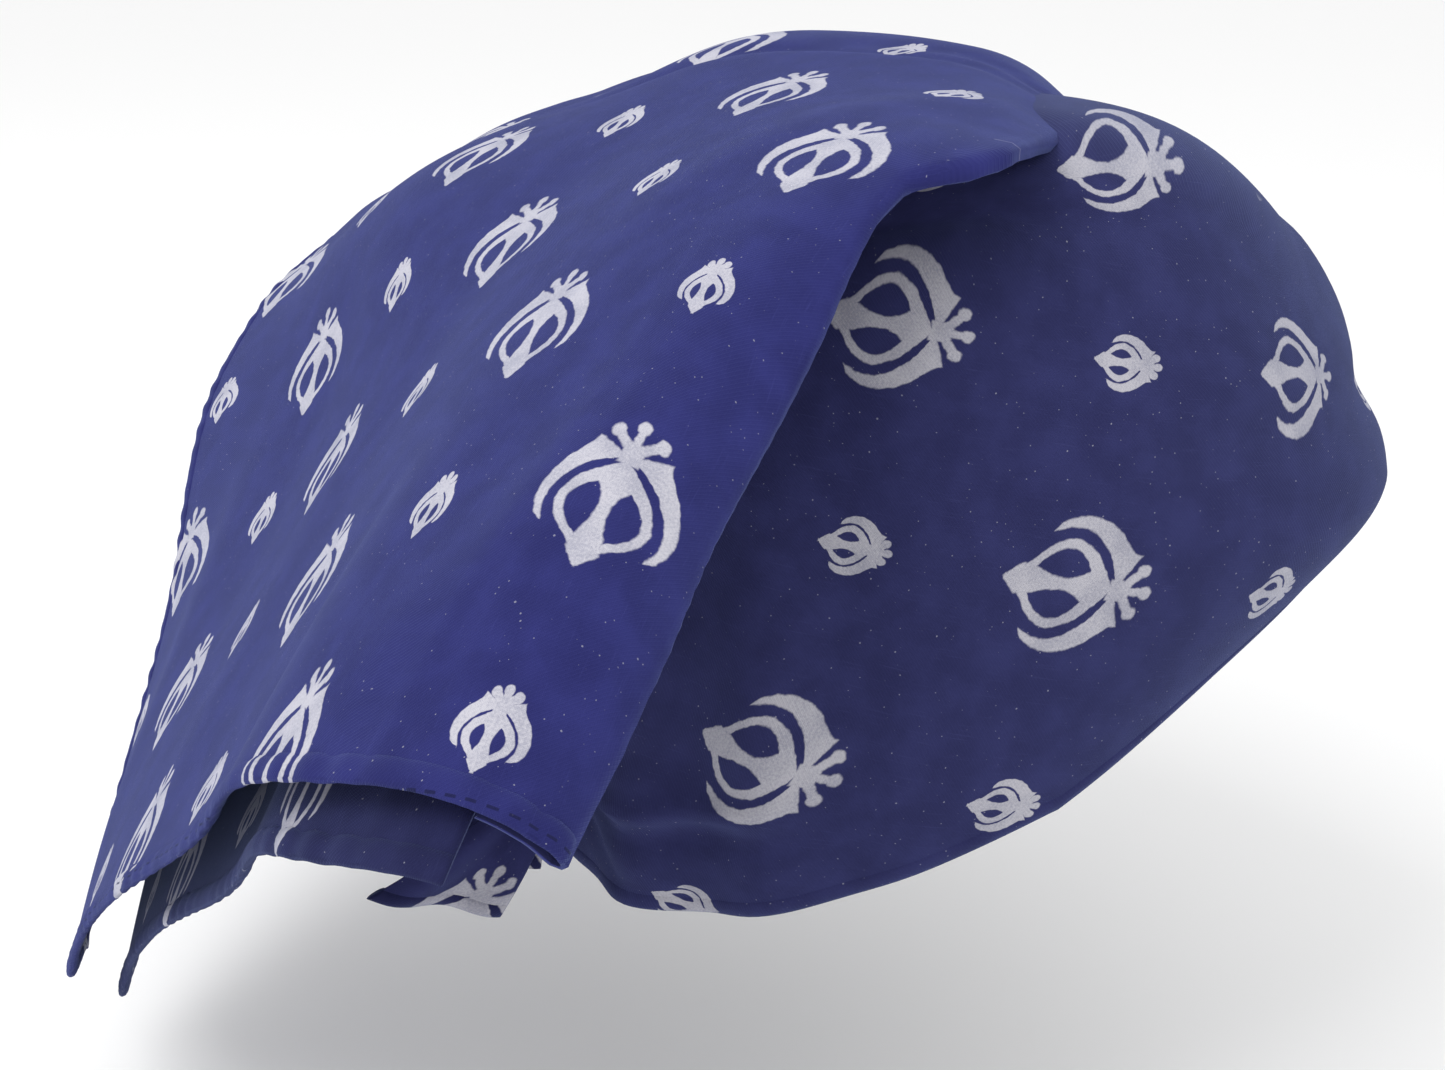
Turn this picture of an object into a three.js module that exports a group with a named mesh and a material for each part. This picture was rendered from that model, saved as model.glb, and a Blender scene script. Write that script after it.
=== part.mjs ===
// A rumal head wrap: one thin cotton square, folded corner to corner into two layers and tied round the head.
// Millimetres, +X to the front, +Y to the wearer's left, +Z up. The origin is the point inside the crown
// where the wrap sits on the top of the head.
import * as THREE from 'three';

// The cloth. Every place on the flap is told in pitches of its print: u across it, v along it, towards the hem.
const PITCH = 46;
const CLOTH = 1;
const CROWN_WALL = 2;
const LAYER_GAP = 0.9;

// The head form that the crown wraps.
const HEAD_FRONT = 91;
const HEAD_BACK = 97;
const HEAD_HALF_WIDTH = 79;
const HEAD_CENTRE_X = 14;
const CROWN_HEIGHT = 76;
const FRONT_EDGE_DROP = 98;
const SIDE_EDGE_DROP = 129;
const NAPE_EDGE_DROP = 170;
const EDGE_RISE = 0.6;
const EDGE_FALL = 1.1;
const WIDEST_AT = 0.62;
const FRONT_TUCK = 0.15;
const NAPE_TUCK = 0.03;

// The soft groove over the brow and the gathers that run to the knot.
const GROOVE_DROP = 57;
const GROOVE_DEPTH = 2.5;
const GROOVE_WIDTH = 7;
const GATHER_DEPTH = 1.6;
const GATHER_COUNT = 15;

// The outer flap, a square of cloth that hangs by one corner from the crown.
const RIGHT_FOLD = 0.5;
const LEFT_FOLD = 0.3;
const HEM = 7.35;
const FLAP_Y = 12;
const FLAP_TOP_X = 1;
const FLAP_TOP_Z = 4.5;
const FLAP_TOP_AT = 4;
const FLAP_YAW = 0.05;
const FOLD_HEIGHT = 12;
const RIGHT_BEND_AT = -2.8;
const LEFT_BEND_AT = 2.1;
const RIDGE_START = 2.2;
const RIDGE_FULL = 4.2;
const YAW_START = 3;
const YAW_FULL = 7;
const CORNER_TRIM = 0.1;
const CORNER_SHARE = 0.4;

// The inner layer of the flap, which hangs inside the outer one and a little lower.
const INNER_DROP = 7;
const INNER_DEPTH = 10;
const INNER_INSET = 18;
const INNER_TRIM = 1.1;

// The knot at the nape and its two free ends.
const KNOT_X = -92.5;
const KNOT_DROP = 146;
const KNOT_WIDTH = 36;
const KNOT_HEIGHT = 24;
const KNOT_DEPTH = 20;
const KNOT_CREASE = 0.12;
const TIE_LENGTH = 22;
const FAR_TIE_LENGTH = 18;
const TIE_WIDTH = 30;
const TIE_ROOT_WIDTH = 16;
const TIE_THICKNESS = 2;
const TIE_GAP = 0.35;
const TIE_SPREAD = 14;
const TIE_SWELL = 2;
const TIE_SWAY = 20;
const TIE_TILT = 6;

// How steeply the flap falls, in degrees, by the distance from the folded corner in pitches of the diagonal.
const FLAP_SLOPES = [
  { along: 1.4, slope: -44 },
  { along: 2.2, slope: -34 },
  { along: 3, slope: -17 },
  { along: 4, slope: -2 },
  { along: 4.6, slope: 4 },
  { along: 5.5, slope: 22 },
  { along: 6.5, slope: 34 },
  { along: 7.5, slope: 48 },
  { along: 8.5, slope: 53 },
  { along: 9.5, slope: 53 },
  { along: 10.5, slope: 54 },
  { along: 11.5, slope: 61 },
  { along: 12.5, slope: 70 },
  { along: 13.6, slope: 78 },
];

// The soft ridges of the flap. Each runs along u or v at one place, with its width and its height as a share
// of FOLD_HEIGHT, and grows between two distances from the corner.
const RIDGES = [
  { axis: 'v', at: 3.2, width: 1.1, height: 1.4, from: 5, full: 8 },
  { axis: 'v', at: 3.7, width: 1.3, height: 0.9, from: 8.5, full: 11 },
  { axis: 'u', at: -1.8, width: 0.6, height: 0.7, from: 6.5, full: 9.3 },
];

// The bends of the two borders. Each turns the cloth down by an angle between two distances from where
// the border starts, and grows to its full turn along the border.
const RIGHT_BENDS = [
  { near: 0, far: 2.4, turn: 0.3, from: 3.6, full: 5.6 },
  { near: 1.5, far: 2.3, turn: 1.45, from: 3.6, full: 6.2 },
  { near: 1.7, far: 2.3, turn: 0.5, from: 6.4, full: 7.4 },
];
const LEFT_BENDS = [{ near: 0, far: 0.75, turn: 0.7, from: 4.6, full: 7 }];

const RADIAN = Math.PI / 180;
const QUARTER = Math.PI / 2;
const DIAGONAL_STEP = PITCH / Math.SQRT2;
const SMALL = 0.01;
const BEND_STEPS = 12;
const PROFILE_STEP = 0.05;

const smooth = (from, to, x) => {
  const t = Math.min(1, Math.max(0, (x - from) / (to - from)));
  return t * t * (3 - 2 * t);
};

function slopeAt(along) {
  const last = FLAP_SLOPES.length - 2;
  let row = 0;
  while (row < last && FLAP_SLOPES[row + 1].along < along) row += 1;
  const a = FLAP_SLOPES[row];
  const b = FLAP_SLOPES[row + 1];
  return (a.slope + ((b.slope - a.slope) * (along - a.along)) / (b.along - a.along)) * RADIAN;
}

// The side profile of the flap, walked in small steps away from the top of the crown.
function flapProfile(along) {
  const steps = Math.max(1, Math.ceil(Math.abs(along - FLAP_TOP_AT) / PROFILE_STEP));
  const step = (along - FLAP_TOP_AT) / steps;
  let x = FLAP_TOP_X;
  let z = FLAP_TOP_Z;
  for (let i = 0; i < steps; i += 1) {
    const slope = slopeAt(FLAP_TOP_AT + (i + 0.5) * step);
    x -= Math.cos(slope) * step * DIAGONAL_STEP;
    z -= Math.sin(slope) * step * DIAGONAL_STEP;
  }
  return { x, z, slope: slopeAt(along) };
}

// A point of the middle of the flap before its borders turn.
function flapBase(u, v) {
  const along = v - u;
  const { x, z, slope } = flapProfile(along);
  const ridges = RIDGES.reduce((sum, ridge) => {
    const off = ((ridge.axis === 'u' ? u : v) - ridge.at) / ridge.width;
    const reach = ridge.axis === 'u' ? 1 : smooth(RIDGE_START, RIDGE_FULL, -u);
    return sum + ridge.height * Math.exp(-off * off) * smooth(ridge.from, ridge.full, along) * reach;
  }, 0);
  const out = FOLD_HEIGHT * ridges;
  const across = (1 - u - v) * DIAGONAL_STEP;
  const yaw = FLAP_YAW * across * smooth(YAW_START, YAW_FULL, along);
  return new THREE.Vector3(x - Math.sin(slope) * out - yaw, FLAP_Y + across, z + Math.cos(slope) * out);
}

// How far a border has moved back and down, and its angle, at a distance past its start.
function borderTurn(past, along, bends) {
  const angleAt = (distance) => bends.reduce((sum, bend) => {
    const share = Math.min(1, Math.max(0, (distance - bend.near) / (bend.far - bend.near)));
    return sum + bend.turn * share * smooth(bend.from, bend.full, along);
  }, 0);
  const step = past / BEND_STEPS;
  let back = 0;
  let down = 0;
  for (let i = 0; i < BEND_STEPS; i += 1) {
    const angle = angleAt((i + 0.5) * step);
    back += (1 - Math.cos(angle)) * step * PITCH;
    down += Math.sin(angle) * step * PITCH;
  }
  return { back, down, angle: angleAt(past) };
}

// A point of the flap. lift is its distance outwards from the middle of the outer layer.
function flapPoint(u, v, lift) {
  const place = flapBase(u, v);
  const alongU = flapBase(u + SMALL, v).sub(flapBase(u - SMALL, v)).normalize();
  const alongV = flapBase(u, v + SMALL).sub(flapBase(u, v - SMALL)).normalize();
  const normal = new THREE.Vector3().crossVectors(alongV, alongU).normalize();
  const right = borderTurn(Math.max(0, u - RIGHT_BEND_AT), v, RIGHT_BENDS);
  const left = borderTurn(Math.max(0, LEFT_BEND_AT - v), 1 - u, LEFT_BENDS);
  place.addScaledVector(alongU, lift * Math.sin(right.angle) - right.back);
  place.addScaledVector(alongV, left.back - lift * Math.sin(left.angle));
  return place.addScaledVector(normal, lift * Math.cos(right.angle + left.angle) - right.down - left.down);
}

// How far below the top of the crown its edge lies, which slants from the brow down to the nape.
function edgeDrop(angle) {
  const c = Math.cos(angle);
  return c > 0
    ? SIDE_EDGE_DROP + (FRONT_EDGE_DROP - SIDE_EDGE_DROP) * c ** EDGE_RISE
    : SIDE_EDGE_DROP + (NAPE_EDGE_DROP - SIDE_EDGE_DROP) * (-c) ** EDGE_FALL;
}

// The outside of the crown, told by the angle round the head, from the front, and by t, from 0 at its top
// to 1 at its edge.
function crownSurface(angle, t) {
  const c = Math.cos(angle);
  const s = Math.sin(angle);
  const length = c > 0 ? HEAD_FRONT : HEAD_BACK;
  const radius = 1 / Math.hypot(c / length, s / HEAD_HALF_WIDTH);
  const turn = QUARTER * Math.min(1, t / WIDEST_AT);
  const down = Math.max(0, (t - WIDEST_AT) / (1 - WIDEST_AT));
  const drop = CROWN_HEIGHT * (1 - Math.cos(turn)) + (edgeDrop(angle) - CROWN_HEIGHT) * down;
  const tuck = NAPE_TUCK + ((FRONT_TUCK - NAPE_TUCK) * (1 + c)) / 2;
  const groove = GROOVE_DEPTH * Math.exp(-(((drop - GROOVE_DROP) / GROOVE_WIDTH) ** 2)) * smooth(0, 0.7, c);
  const gather = GATHER_DEPTH * smooth(0.3, 0.8, t) * smooth(0.2, 0.9, -c) * Math.cos(GATHER_COUNT * angle);
  const r = radius * Math.sin(turn) * (1 - tuck * down * down) - groove - gather;
  const centre = HEAD_CENTRE_X * (1 - Math.cos(turn));
  return new THREE.Vector3(centre + r * c, r * s, CROWN_WALL - drop);
}

// The same, moved inwards through the wall by a depth.
function crownPoint(angle, t, depth) {
  const place = crownSurface(angle, t);
  if (depth === 0) return place;
  if (t === 0) return place.setZ(place.z - depth);
  const down = crownSurface(angle, t + SMALL).sub(crownSurface(angle, t - SMALL));
  const round = crownSurface(angle + SMALL, t).sub(crownSurface(angle - SMALL, t));
  return place.addScaledVector(round.cross(down).normalize(), depth);
}

function meshGeometry(points, index) {
  const geometry = new THREE.BufferGeometry();
  geometry.setAttribute('position', new THREE.Float32BufferAttribute(points, 3));
  geometry.setIndex(index);
  geometry.computeVertexNormals();
  return geometry;
}

// A closed sheet of cloth from two faces, each a function of two shares, joined round their rims.
function sheetGeometry(outer, inner, rows, columns) {
  const points = [];
  for (const face of [outer, inner]) {
    for (let i = 0; i <= rows; i += 1) {
      for (let j = 0; j <= columns; j += 1) points.push(...face(i / rows, j / columns).toArray());
    }
  }
  const back = (rows + 1) * (columns + 1);
  const at = (i, j) => i * (columns + 1) + j;
  const index = [];
  for (let i = 0; i < rows; i += 1) {
    for (let j = 0; j < columns; j += 1) {
      const [a, b, c, d] = [at(i, j), at(i + 1, j), at(i + 1, j + 1), at(i, j + 1)];
      index.push(a, b, c, a, c, d);
      index.push(back + a, back + c, back + b, back + a, back + d, back + c);
    }
  }
  const rim = [];
  for (let j = 0; j < columns; j += 1) rim.push(at(0, j));
  for (let i = 0; i < rows; i += 1) rim.push(at(i, columns));
  for (let j = columns; j > 0; j -= 1) rim.push(at(rows, j));
  for (let i = rows; i > 0; i -= 1) rim.push(at(i, 0));
  rim.forEach((a, i) => {
    const b = rim[(i + 1) % rim.length];
    index.push(a, b, back + b, a, back + b, back + a);
  });
  return meshGeometry(points, index);
}

// The crown, whose rings close round it and meet at its top.
function crownGeometry(rings, around) {
  const points = [];
  for (const depth of [0, CROWN_WALL]) {
    points.push(...crownPoint(0, 0, depth).toArray());
    for (let i = 1; i <= rings; i += 1) {
      for (let j = 0; j < around; j += 1) {
        points.push(...crownPoint((2 * Math.PI * j) / around, i / rings, depth).toArray());
      }
    }
  }
  const inside = rings * around + 1;
  const at = (i, j) => 1 + (i - 1) * around + (j % around);
  const index = [];
  for (let j = 0; j < around; j += 1) {
    index.push(0, at(1, j), at(1, j + 1));
    index.push(inside, inside + at(1, j + 1), inside + at(1, j));
    for (let i = 1; i < rings; i += 1) {
      const [a, b, c, d] = [at(i, j), at(i + 1, j), at(i + 1, j + 1), at(i, j + 1)];
      index.push(a, b, c, a, c, d);
      index.push(inside + a, inside + c, inside + b, inside + a, inside + d, inside + c);
    }
    const [a, b] = [at(rings, j), at(rings, j + 1)];
    index.push(a, inside + a, inside + b, a, inside + b, b);
  }
  return meshGeometry(points, index);
}

// One layer of the flap. inset moves its two folds inwards, drop lengthens it at both hems, trim rounds off
// its corner on the crown and lift(along) is its distance outwards from the middle of the outer layer.
function flapGeometry(inset, drop, trim, lift) {
  const rightEdge = -RIGHT_FOLD - inset;
  const leftEdge = 1 + LEFT_FOLD + inset;
  const hem = HEM + drop;
  const farHem = 1 - HEM - drop;
  const face = (offset) => (s, t) => {
    const u0 = rightEdge - trim * Math.max(0, 1 - t / CORNER_SHARE) ** 2;
    const v0 = leftEdge + trim * Math.max(0, 1 - s / CORNER_SHARE) ** 2;
    const u = u0 + s * (farHem - u0);
    const v = v0 + t * (hem - v0);
    return flapPoint(u, v, lift(v - u) + offset);
  };
  return sheetGeometry(face(CLOTH / 2), face(-CLOTH / 2), 24, 24);
}

// The knot, a rounded lump drawn in by its wraps.
function knotGeometry(rings, around) {
  const place = (polar, angle) => {
    const crease = 1 - KNOT_CREASE * Math.cos(3 * angle) ** 2 * Math.sin(polar) ** 2;
    return [
      KNOT_X + (KNOT_DEPTH / 2) * crease * Math.sin(polar) * Math.cos(angle),
      (-KNOT_WIDTH / 2) * Math.cos(polar),
      -KNOT_DROP + (KNOT_HEIGHT / 2) * crease * Math.sin(polar) * Math.sin(angle),
    ];
  };
  const points = place(0, 0);
  for (let i = 1; i < rings; i += 1) {
    for (let j = 0; j < around; j += 1) points.push(...place((Math.PI * i) / rings, (2 * Math.PI * j) / around));
  }
  points.push(...place(Math.PI, 0));
  const last = (rings - 1) * around + 1;
  const at = (i, j) => 1 + (i - 1) * around + (j % around);
  const index = [];
  for (let j = 0; j < around; j += 1) {
    index.push(0, at(1, j), at(1, j + 1));
    for (let i = 1; i < rings - 1; i += 1) {
      const [a, b, c, d] = [at(i, j), at(i + 1, j), at(i + 1, j + 1), at(i, j + 1)];
      index.push(a, b, c, a, c, d);
    }
    index.push(last, at(rings - 1, j + 1), at(rings - 1, j));
  }
  return meshGeometry(points, index);
}

// A free end of the cloth, hanging from the knot and widening to its hem. side is -1 for the wearer's right.
function tieGeometry(side, length, sway) {
  const round = Math.sqrt(1 - (TIE_SPREAD / KNOT_WIDTH) ** 2);
  const top = -KNOT_DROP - (KNOT_HEIGHT / 2) * round - TIE_GAP;
  const middle = (s, t) => {
    const width = TIE_ROOT_WIDTH + (TIE_WIDTH - TIE_ROOT_WIDTH) * s;
    const y = side * (TIE_SPREAD / 2 + TIE_SWELL * Math.sin(Math.PI * s));
    const z = top - length * s - TIE_TILT * s * (t - 0.5);
    return new THREE.Vector3(KNOT_X - sway * s + (t - 0.5) * width, y, z);
  };
  const face = (offset) => (s, t) => {
    const along = middle(s + SMALL, t).sub(middle(s - SMALL, t));
    const across = middle(s, t + SMALL).sub(middle(s, t - SMALL));
    return middle(s, t).addScaledVector(along.cross(across).normalize(), offset);
  };
  return sheetGeometry(face(TIE_THICKNESS / 2), face(-TIE_THICKNESS / 2), 8, 6);
}

function piece(name, geometry) {
  const mesh = new THREE.Mesh(geometry, new THREE.MeshStandardMaterial({ color: 0x2a2a66, roughness: 0.85 }));
  mesh.name = name;
  return mesh;
}

const innerLift = (along) => -CLOTH - LAYER_GAP - INNER_DEPTH * smooth(5, 13, along);

const wrap = new THREE.Group();
wrap.add(piece('crown_wrap', crownGeometry(20, 60)));
wrap.add(piece('outer_flap', flapGeometry(0, 0, CORNER_TRIM, () => 0)));
wrap.add(piece('inner_flap', flapGeometry(INNER_INSET / PITCH, INNER_DROP / PITCH, INNER_TRIM, innerLift)));
wrap.add(piece('knot', knotGeometry(12, 24)));
wrap.add(piece('near_tie_end', tieGeometry(-1, TIE_LENGTH, TIE_SWAY)));
wrap.add(piece('far_tie_end', tieGeometry(1, FAR_TIE_LENGTH, TIE_SWAY / 2)));

export default wrap;
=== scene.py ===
import math

import bmesh
import bpy
import numpy as np
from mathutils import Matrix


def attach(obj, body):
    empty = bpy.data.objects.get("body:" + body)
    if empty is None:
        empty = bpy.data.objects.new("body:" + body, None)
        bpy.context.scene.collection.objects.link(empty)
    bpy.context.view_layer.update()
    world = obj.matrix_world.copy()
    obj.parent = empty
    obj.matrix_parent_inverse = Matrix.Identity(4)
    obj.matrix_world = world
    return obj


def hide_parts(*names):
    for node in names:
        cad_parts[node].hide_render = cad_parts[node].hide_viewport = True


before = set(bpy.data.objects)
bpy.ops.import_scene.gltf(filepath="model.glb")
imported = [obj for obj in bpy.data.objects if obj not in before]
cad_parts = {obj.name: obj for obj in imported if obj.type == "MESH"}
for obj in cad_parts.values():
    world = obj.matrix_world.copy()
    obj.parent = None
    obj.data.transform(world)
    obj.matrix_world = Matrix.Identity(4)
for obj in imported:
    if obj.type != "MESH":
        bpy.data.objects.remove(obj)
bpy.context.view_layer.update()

MM = 0.001
PITCH = 46.0
DIAGONAL_STEP = PITCH / math.sqrt(2)
CLOTH = 0.9
CROWN_WALL = 2.0

# Camera, at the place the photograph was taken from. The focal length and the width are in its pixels.
SENSOR_WIDTH = 36.0
FOCAL_LENGTH = 1800.0
PHOTO_WIDTH = 1445.0
CAMERA_PLACE = (-0.0900, -0.3760, 0.0470)
CAMERA_TILT = 69.73
CAMERA_TURN = -6.97

lens = bpy.data.cameras.new("photo_lens")
lens.sensor_fit = "HORIZONTAL"
lens.sensor_width = SENSOR_WIDTH
lens.lens = SENSOR_WIDTH * FOCAL_LENGTH / PHOTO_WIDTH
camera = bpy.data.objects.new("photo_camera", lens)
camera.location = CAMERA_PLACE
camera.rotation_euler = (math.radians(CAMERA_TILT), 0.0, math.radians(CAMERA_TURN))
bpy.context.scene.collection.objects.link(camera)
bpy.context.scene.camera = camera


# The forms of the cloth, in millimetres. A place on the flap is told in pitches of its print.

# The crown's reach from its middle, its height, and the drop of its edge all round.
HEAD_FRONT = 91.0
HEAD_BACK = 97.0
HEAD_HALF_WIDTH = 79.0
HEAD_CENTRE_X = 14.0
CROWN_HEIGHT = 76.0
FRONT_EDGE_DROP = 98.0
SIDE_EDGE_DROP = 129.0
NAPE_EDGE_DROP = 170.0
EDGE_RISE = 1.6
EDGE_FALL = 1.1

# How the crown draws in under its widest place, and its groove and gathers.
WIDEST_AT = 0.62
FRONT_TUCK = 0.15
NAPE_TUCK = 0.03
GROOVE_DROP = 57.0
GROOVE_DEPTH = 2.5
GROOVE_WIDTH = 7.0
GATHER_DEPTH = 1.6
GATHER_COUNT = 15

# Shares between which a form starts and is full, round the head or down it.
GROOVE_ROUND = (0.0, 0.7)
GATHER_ROUND = (0.2, 0.9)
GATHER_DOWN = (0.3, 0.8)
BROW_ROUND = (-0.1, 0.8)
RIGHT_SIDE = (-0.2, 0.2)

# Where the flap's sides fold under and where its hem runs, in pitches, from the folded corner.
RIGHT_FOLD = 0.5
LEFT_FOLD = 0.3
HEM = 7.35

# Where the flap lies over the crown, how it yaws, and the height of its broad ridges.
FLAP_Y = 12.0
FLAP_TOP_X = 1.0
FLAP_TOP_Z = 4.5
FLAP_TOP_AT = 4.0
FLAP_YAW = 0.05
FOLD_HEIGHT = 12.0

# Where the flap's two borders start to bend, and the share of a border that its folded corner takes.
RIGHT_BEND_AT = -2.8
LEFT_BEND_AT = 2.1
CORNER_SHARE = 0.4

# How the inner layer differs from the outer one.
INNER_DROP = 7.0
INNER_DEPTH = 10.0
INNER_INSET = 18.0
INNER_TRIM = 1.1
LAYER_GAP = 0.9

KNOT_X = -92.5
KNOT_DROP = 146.0
KNOT_WIDTH = 36.0
KNOT_HEIGHT = 24.0
KNOT_DEPTH = 20.0
TIE_LENGTH = 22.0
FAR_TIE_LENGTH = 18.0
TIE_WIDTH = 30.0
TIE_ROOT_WIDTH = 16.0
TIE_SPREAD = 14.0
TIE_SWELL = 2.0
TIE_SWAY = 20.0
TIE_TILT = 6.0
TIE_GAP = 0.35

# How steeply the flap falls, in degrees, by the distance from the folded corner.
FLAP_SLOPES = [
    (1.4, -44), (2.2, -34), (3.0, -17), (4.0, -2), (4.6, 4), (5.5, 22), (6.5, 34),
    (7.5, 48), (8.5, 53), (9.5, 53), (10.5, 54), (11.5, 61), (12.5, 70), (13.6, 78),
]

# Broad ridges: axis, place, width, height as a share of FOLD_HEIGHT, and where it starts and is full.
RIDGES = [
    ("v", 3.2, 1.1, 1.4, 5.0, 8.0),
    ("v", 3.7, 1.3, 0.9, 8.5, 11.0),
    ("u", -1.8, 0.6, 0.7, 6.5, 9.3),
]

# Bends of the two borders: near, far, turn, and where it starts and is full along the border.
RIGHT_BENDS = [
    (0.0, 2.4, 0.3, 3.6, 5.6),
    (1.5, 2.3, 1.45, 3.6, 6.2),
    (1.7, 2.3, 0.5, 6.4, 7.4),
]
LEFT_BENDS = [(0.0, 0.75, 0.4, 4.6, 7.0)]

# Small folds and dents of the flap: from (u, v), to (u, v), width in pitches, height in millimetres.
FLAP_FOLDS = [
    ((-0.2, 1.6), (-3.6, 2.2), 0.85, 6.0),
    ((-0.2, 2.3), (-0.3, 4.0), 0.45, -3.5),
    ((-0.6, 1.9), (-2.6, 2.3), 0.10, -1.2),
    ((-0.7, 2.9), (-1.9, 4.6), 0.22, 1.1),
    ((-1.1, 3.4), (-1.5, 6.6), 0.30, -1.0),
    ((-2.6, 3.0), (-3.2, 5.4), 0.35, -1.2),
    ((-3.4, 4.6), (-3.7, 7.3), 0.30, 1.3),
    ((-4.4, 3.4), (-4.6, 6.2), 0.35, -1.3),
    ((-5.2, 4.2), (-5.5, 7.3), 0.28, 1.2),
    ((-0.7, 5.2), (-1.6, 7.2), 0.22, 0.9),
    ((-2.2, 5.6), (-2.5, 7.3), 0.18, -1.1),
    ((-5.8, 1.8), (-6.8, 3.0), 0.60, 5.0),
    ((-3.3, 1.3), (-4.9, 1.7), 0.55, -4.5),
    ((-0.9, 2.25), (-3.9, 2.42), 0.07, -1.4),
]

# Small folds of the crown, in its own print pitches: from, to, width, height.
CROWN_FOLDS = [
    ((3.15, 1.85), (3.95, 3.0), 0.07, 2.0),
    ((3.25, 1.75), (4.1, 2.9), 0.09, -1.6),
    ((3.1, 2.2), (3.6, 3.6), 0.12, -1.0),
    ((2.6, 2.5), (3.2, 3.9), 0.14, 0.9),
    ((3.9, 1.7), (4.4, 3.2), 0.10, -1.1),
    ((0.3, 0.6), (0.6, 2.6), 0.18, -1.6),
    ((-0.2, 1.0), (0.1, 2.6), 0.14, 1.2),
    ((0.0, -0.6), (0.9, -1.4), 0.16, 1.0),
    ((0.9, 0.4), (0.4, -0.8), 0.25, -0.8),
]


FOLD_FADES_IN = (-0.1, 0.3)
FOLD_FADES_OUT = (0.7, 1.1)


def smooth(start, end, x):
    """A soft step from 0 at start to 1 at end."""
    share = np.clip((x - start) / (end - start), 0.0, 1.0)
    return share * share * (3.0 - 2.0 * share)


def soft_folds(u, v, rows):
    """The height of a table of soft folds, each along a line that fades at both ends."""
    height = np.zeros_like(u)
    for (u0, v0), (u1, v1), width, rise in rows:
        du, dv = u1 - u0, v1 - v0
        share = ((u - u0) * du + (v - v0) * dv) / (du * du + dv * dv)
        off = np.hypot(u - u0 - du * share, v - v0 - dv * share) / width
        reach = smooth(*FOLD_FADES_IN, share) * (1.0 - smooth(*FOLD_FADES_OUT, share))
        height += rise * np.exp(-off * off) * reach
    return height


PROFILE_STEP = 0.05
PROFILE_END = 15.01
PROFILE_AT = np.arange(0.0, PROFILE_END, PROFILE_STEP)
PROFILE_SLOPE = np.radians(np.interp(PROFILE_AT, *zip(*FLAP_SLOPES)))


def walked(rate):
    """How far the flap goes one way, summed from the folded corner and told from its highest place."""
    middle = (rate[1:] + rate[:-1]) / 2.0 * PROFILE_STEP * DIAGONAL_STEP
    total = np.concatenate(([0.0], np.cumsum(middle)))
    return total - np.interp(FLAP_TOP_AT, PROFILE_AT, total)


PROFILE_X = FLAP_TOP_X - walked(np.cos(PROFILE_SLOPE))
PROFILE_Z = FLAP_TOP_Z - walked(np.sin(PROFILE_SLOPE))


RIDGE_FAR_SIDE = (2.2, 4.2)
YAW_DOWN = (3.0, 7.0)


def flap_base(u, v):
    """The flap's middle without its small folds: one profile swept across, with its broad ridges."""
    along = v - u
    x, z, slope = (np.interp(along, PROFILE_AT, row) for row in (PROFILE_X, PROFILE_Z, PROFILE_SLOPE))
    out = np.zeros_like(u)
    for axis, at, width, height, start, full in RIDGES:
        off = ((u if axis == "u" else v) - at) / width
        reach = 1.0 if axis == "u" else smooth(*RIDGE_FAR_SIDE, -u)
        out += FOLD_HEIGHT * height * np.exp(-off * off) * smooth(start, full, along) * reach
    across = (1.0 - u - v) * DIAGONAL_STEP
    yaw = FLAP_YAW * across * smooth(*YAW_DOWN, along)
    return np.stack([x - np.sin(slope) * out - yaw, FLAP_Y + across, z + np.cos(slope) * out], -1)


BORDER_STEPS = 12
SMALL = 0.01


def border_turn(past, along, bends):
    """How far back and down a border has bent, and by what angle, past the line where its bend starts."""
    step = past / BORDER_STEPS

    def angle_at(distance):
        angle = np.zeros_like(past)
        for near, far, turn, start, full in bends:
            share = np.clip((distance - near) / (far - near), 0.0, 1.0)
            angle = angle + turn * share * smooth(start, full, along)
        return angle

    back = np.zeros_like(past)
    down = np.zeros_like(past)
    for i in range(BORDER_STEPS):
        angle = angle_at((i + 0.5) * step)
        back += (1.0 - np.cos(angle)) * step * PITCH
        down += np.sin(angle) * step * PITCH
    return back, down, angle_at(past)


def unit(vectors):
    return vectors / np.linalg.norm(vectors, axis=-1, keepdims=True)


def flap_place(u, v, lift):
    """A point of the flap, lift millimetres outwards from the middle of its outer layer."""
    along_u = unit(flap_base(u + SMALL, v) - flap_base(u - SMALL, v))
    along_v = unit(flap_base(u, v + SMALL) - flap_base(u, v - SMALL))
    normal = unit(np.cross(along_v, along_u))
    right_back, right_down, right = border_turn(np.maximum(0.0, u - RIGHT_BEND_AT), v, RIGHT_BENDS)
    left_back, left_down, left = border_turn(np.maximum(0.0, LEFT_BEND_AT - v), 1.0 - u, LEFT_BENDS)
    moves = (
        (along_u, lift * np.sin(right) - right_back),
        (along_v, left_back - lift * np.sin(left)),
        (normal, lift * np.cos(right + left) - right_down - left_down),
    )
    return flap_base(u, v) + sum(way * share[..., None] for way, share in moves)


def edge_drop(angle):
    """How far the crown's lower edge lies under its top, by the angle round the head."""
    c = np.cos(angle)
    rise = (1.0 - np.maximum(c, 0.0)) ** EDGE_RISE
    front = FRONT_EDGE_DROP + (SIDE_EDGE_DROP - FRONT_EDGE_DROP) * rise
    nape = SIDE_EDGE_DROP + (NAPE_EDGE_DROP - SIDE_EDGE_DROP) * np.maximum(-c, 0.0) ** EDGE_FALL
    return np.where(c > 0.0, front, nape)


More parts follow.
